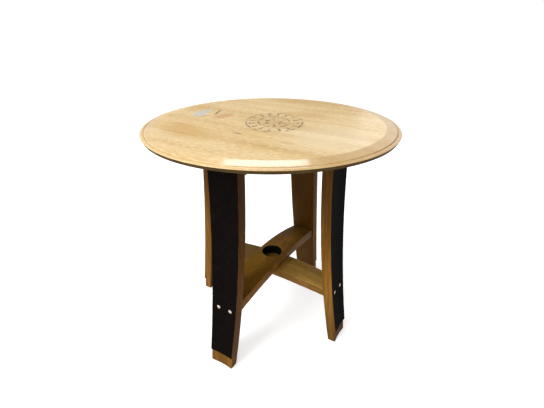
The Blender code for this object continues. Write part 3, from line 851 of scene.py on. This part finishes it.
def plain_oak(name, run, light, dark, seed, rough_low=0.55, coat=0.0):
    """Unfinished or oiled oak for battens, braces and the knob."""
    t = Tree(name)
    tone, lines, pores = grain(t, run, seed, 55.0)
    colour = t.ramp(tone, [(0.30, dark), (0.70, light)])
    colour = t.mix(t.times(lines, 0.30), colour, tuple(0.6 * c for c in dark))
    pore_mask = t.step(pores, 0.54, 0.67)
    colour = t.mix(t.times(pore_mask, 0.45), colour, tuple(0.35 * c for c in dark))
    saw = t.wave(t.pos, 140.0, 1.2, 2.0, 1.5, "X" if run == "Y" else "Y")
    t.bump(t.minus(t.times(saw, 0.35), t.times(pore_mask, 0.6)), 0.35, 0.0004)
    return t.done(colour, t.blend(tone, rough_low, rough_low + 0.2), coat=coat, coat_rough=0.3, specular=0.2)


def steel(name, colour, rough, tarnish=(0.16, 0.11, 0.07), amount=0.35, metallic=1.0, specular=0.5):
    """Worn zinc-plated or plain steel."""
    t = Tree(name)
    spots = t.step(t.noise(t.pos, 420.0, 5.0, 0.7), 0.52, 0.70, (0.0, amount))
    base = t.mix(spots, colour, tarnish)
    scratch = t.noise(t.place(t.pos, scale=(1.0, 0.12, 1.0)), 2600.0, 2.0)
    t.bump(scratch, 0.12, 0.0001)
    return t.done(base, t.blend(scratch, rough, rough + 0.18), metallic=metallic, specular=specular)


# ---------------------------------------------------------------- build the shown pieces

edges = (-R_TOP, *SEAMS, R_TOP)
for k, (low, high) in enumerate(zip(edges, edges[1:]), 1):
    a = low + GAP / 2 if k > 1 else low
    b = high - GAP / 2 if k <= len(SEAMS) else high
    node = f"head_board_{k}"
    data = carved(node, board_mesh(a, b), holes_for(node))
    piece("board_" + str(k), data, board_material(k), "top", node, 14.0)

for leg in LEGS:
    bm = bmesh.new()
    loft(bm, [leg_section(leg, z) for z in leg_levels(leg)])
    node = "leg_" + leg
    piece("stave_" + leg, carved(node, bm, holes_for(node)), leg_material(leg), "base", node, 34.0)

for node, axis, ends, spec, seed in (("stretcher_upper", "Y", ("front", "back"), UPPER, 2.3),
                                     ("stretcher_lower", "X", ("left", "right"), LOWER, 8.1)):
    data = carved(node, stretcher_mesh(axis, ends, spec, seed), holes_for(node))
    piece("rail_" + node, data, stretcher_material(node, axis, seed), "base", node, 34.0)

SOOT, SOOT_SPOTS = (0.006, 0.005, 0.005), (0.004, 0.003, 0.003)     # the brace screws are charred over
screw_data = {}
for name, _, head, outward, size in SPOTS:
    if size not in screw_data:
        screw_data[size] = screw_mesh(size)
    data = screw_data[size].copy()
    turn = Matrix.Rotation(math.radians((head.x * 9000.0 + head.y * 5000.0) % 90.0), 4, "Z")
    data.transform(facing(head, outward) @ turn)
    if name.startswith("leg_screw"):
        mat = steel("steel_" + name, (0.62, 0.55, 0.47), 0.46, amount=0.25, metallic=0.60)
    elif name.startswith("brace_screw"):
        mat = steel("steel_" + name, SOOT, 0.80, SOOT_SPOTS, metallic=0.0, specular=0.05)
    else:
        mat = steel("steel_" + name, (0.45, 0.44, 0.42), 0.38, amount=0.25)
    piece("screw_" + name, data, mat, "top" if name.startswith("batten") else "base", name, 30.0)


def metal_piece(name, node, profile, place, segments, mat, body, hole=None):
    """A turned piece, bored along its axis where hole gives a profile."""
    bm = bmesh.new()
    turned(bm, profile, place, segments)
    if hole:
        tool = bmesh.new()
        turned(tool, hole, place, 32)
        data = carved(name, bm, tool)
    else:
        data = mesh_from(name, bm)
    return piece(name, data, mat, body, node, 30.0)


def bore(radius, low, high):
    """Profile of a hole with running clearance."""
    return [(radius + RUN, low), (radius + RUN, high)]


# Pivot bolt, washers and nut, by distance from the middle along the bolt
WASHER = BATTEN_OUT + GAP
WASHER_T = 0.0015
HEAD = -(WASHER + 0.0018)
bolt = [(0.0015, HEAD - 0.0046), (0.0034, HEAD - 0.0044), (0.0052, HEAD - 0.0037), (0.0064, HEAD - 0.0024),
        (0.0069, HEAD - 0.0010), (0.0070, HEAD), (PIVOT_R, HEAD), (PIVOT_R, BOLT_END - 0.0007),
        (0.0033, BOLT_END)]
metal_piece("bolt", "pivot_bolt", bolt, PIVOT_FRAME, 48, steel("bolt_steel", (0.47, 0.47, 0.48), 0.30), "top")
for side, low in (("left", -WASHER - WASHER_T), ("right", WASHER)):
    washer = [(0.0083, low), (0.0085, low + 0.0002), (0.0085, low + 0.0013), (0.0083, low + WASHER_T)]
    metal_piece("washer_" + side, "pivot_washer_" + side, washer, PIVOT_FRAME, 48,
                steel("washer_steel_" + side, (0.50, 0.50, 0.50), 0.32), "top",
                bore(PIVOT_R, low - 0.005, low + 0.005))
nut = [(0.0064, WASHER + 0.0018), (0.0072, WASHER + 0.0022), (0.0072, WASHER + 0.0072),
       (0.0062, WASHER + 0.0078)]
metal_piece("nut", "pivot_nut", nut, PIVOT_FRAME, 6, steel("nut_steel", (0.46, 0.46, 0.47), 0.34), "top",
            bore(PIVOT_R, WASHER - 0.004, WASHER + 0.012))

# Catch rod and knob, drawn back by the catch's travel
SEAT = BATTEN_OUT + GAP + CATCH_TRAVEL
TIP = BATTEN_IN + 0.0008
rod = [(0.0012, TIP), (0.0022, TIP + 0.0003), (0.0028, TIP + 0.0010), (CATCH_R, TIP + 0.0018),
       (CATCH_R, SEAT + 0.0095)]
metal_piece("catch_rod", "catch_pin", rod, CATCH_FRAME, 32,
            steel("rod_steel", (0.50, 0.50, 0.51), 0.22), "catch")
knob = [(0.0050, 0.0), (0.0058, 0.0003), (0.0062, 0.0012), (0.0059, 0.0022), (0.0051, 0.0034),
        (0.0052, 0.0044), (0.0064, 0.0060), (0.0078, 0.0078), (0.0087, 0.0096), (0.0090, 0.0112),
        (0.0087, 0.0128), (0.0078, 0.0143), (0.0062, 0.0154), (0.0040, 0.0159), (0.0018, 0.0160)]
metal_piece("turned_knob", "catch_knob", [(r, SEAT + h) for r, h in knob], CATCH_FRAME, 48,
            plain_oak("knob_oak", "X", (0.33, 0.19, 0.085), (0.17, 0.085, 0.035), 4.4, 0.30, 0.3), "catch",
            bore(CATCH_R, SEAT - 0.004, SEAT + 0.0098))

for node, run, seed in (("batten_left", "Y", 1.2), ("batten_right", "Y", 5.6),
                        ("brace_long", "Y", 9.3), ("brace_cross", "X", 12.8)):
    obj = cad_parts[node]
    mat = plain_oak(node + "_oak", run, (0.290, 0.168, 0.062), (0.150, 0.080, 0.024), seed)
    for slot in obj.material_slots:
        slot.material = mat

# ---------------------------------------------------------------- floor, light, camera


FLOOR_HALF, FLOOR_GLOW = 30.0, 0.42     # wide and faintly lit, so that it fills the view with white


def floor_piece():
    bm = bmesh.new()
    bmesh.ops.create_grid(bm, x_segments=2, y_segments=2, size=FLOOR_HALF)
    data = mesh_from("floor", bm)
    t = Tree("floor")
    speck = t.noise(t.pos, 3.0, 2.0)
    data.materials.append(t.done(t.mix(speck, (0.93, 0.93, 0.93), (0.95, 0.95, 0.95)), 0.9, specular=0.0))
    t.shader.inputs["Emission Color"].default_value = (1.0, 1.0, 1.0, 1.0)
    t.shader.inputs["Emission Strength"].default_value = FLOOR_GLOW
    obj = bpy.data.objects.new("floor", data)
    obj.location = (0.0, 0.0, -0.0004)
    scene.collection.objects.link(obj)


def lamp(name, size, power, place, target=(0.0, 0.0, 0.35), height=None):
    """A white area light at place, aimed at target."""
    data = bpy.data.lights.new(name, "AREA")
    data.shape = "RECTANGLE"
    data.size, data.size_y = size, height or size
    data.energy = power
    obj = bpy.data.objects.new(name, data)
    obj.location = place
    obj.rotation_euler = (Vector(target) - Vector(place)).to_track_quat("-Z", "Y").to_euler()
    scene.collection.objects.link(obj)


def from_view(right, ahead, up):
    """A place given by steps right of, ahead of and above the origin as the camera sees them."""
    c, s = math.cos(VIEW_TURN), math.sin(VIEW_TURN)
    return (right * c - ahead * s, right * s + ahead * c, up)


def studio_world():
    """Surround: bright towards the left front and low behind the table, dim to the right and overhead."""
    world = bpy.data.worlds.new("studio")
    world.use_nodes = True
    nodes, links = world.node_tree.nodes, world.node_tree.links
    direction = nodes.new("ShaderNodeTexCoord").outputs["Generated"]

    def toward(aim, low, high, dim, bright):
        dot = nodes.new("ShaderNodeVectorMath")
        dot.operation = "DOT_PRODUCT"
        links.new(direction, dot.inputs[0])
        dot.inputs[1].default_value = Vector(aim).normalized()
        span = nodes.new("ShaderNodeMapRange")
        span.interpolation_type = "SMOOTHSTEP"
        links.new(dot.outputs["Value"], span.inputs["Value"])
        for socket, value in zip(("From Min", "From Max", "To Min", "To Max"), (low, high, dim, bright)):
            span.inputs[socket].default_value = value
        return span.outputs["Result"]

    def join(operation, a, b):
        node = nodes.new("ShaderNodeMath")
        node.operation = operation
        links.new(a, node.inputs[0])
        links.new(b, node.inputs[1])
        return node.outputs[0]

    side = toward(from_view(-0.8, -0.5, 0.3), -0.7, 0.9, 0.30, 0.95)
    behind = toward(from_view(0.0, 1.0, 0.0), 0.60, 0.72, 0.0, 1.08)
    low = toward((0.0, 0.0, 1.0), 0.05, 0.12, 1.0, 0.0)
    strength = join("MAXIMUM", side, join("MULTIPLY", behind, low))
    links.new(strength, nodes["Background"].inputs["Strength"])
    nodes["Background"].inputs["Color"].default_value = (1.0, 1.0, 1.0, 1.0)
    scene.world = world


floor_piece()
studio_world()
lamp("key", 1.4, 62.0, from_view(-1.7, -1.5, 2.2))
lamp("fill", 2.2, 5.0, from_view(1.9, -1.0, 1.6))
lamp("window", 1.6, 7.0, from_view(1.5, 2.2, 1.3), target=(0.0, 0.0, 0.55), height=1.0)
lamp("strip", 0.86, 5.0, from_view(-0.05, 1.6, 2.02), target=from_view(0.0, -0.28, 0.55), height=0.12)

CAMERA_BACK, CAMERA_UP = 0.8463, 0.7775
CAMERA_DOWN = math.radians(28.937)
CAMERA_ASIDE = 0.0032       # the axis misses the table's middle by this, in radians
camera_data = bpy.data.cameras.new("camera")
camera_data.sensor_width = 36.0
camera_data.lens = 24.326
camera_data.shift_y = 0.02344
camera_data.clip_start = 0.01
camera = bpy.data.objects.new("camera", camera_data)
camera.location = from_view(0.0, -CAMERA_BACK, CAMERA_UP)
camera.rotation_euler = (math.radians(90.0) - CAMERA_DOWN, 0.0, VIEW_TURN - CAMERA_ASIDE)
scene.collection.objects.link(camera)
scene.camera = camera
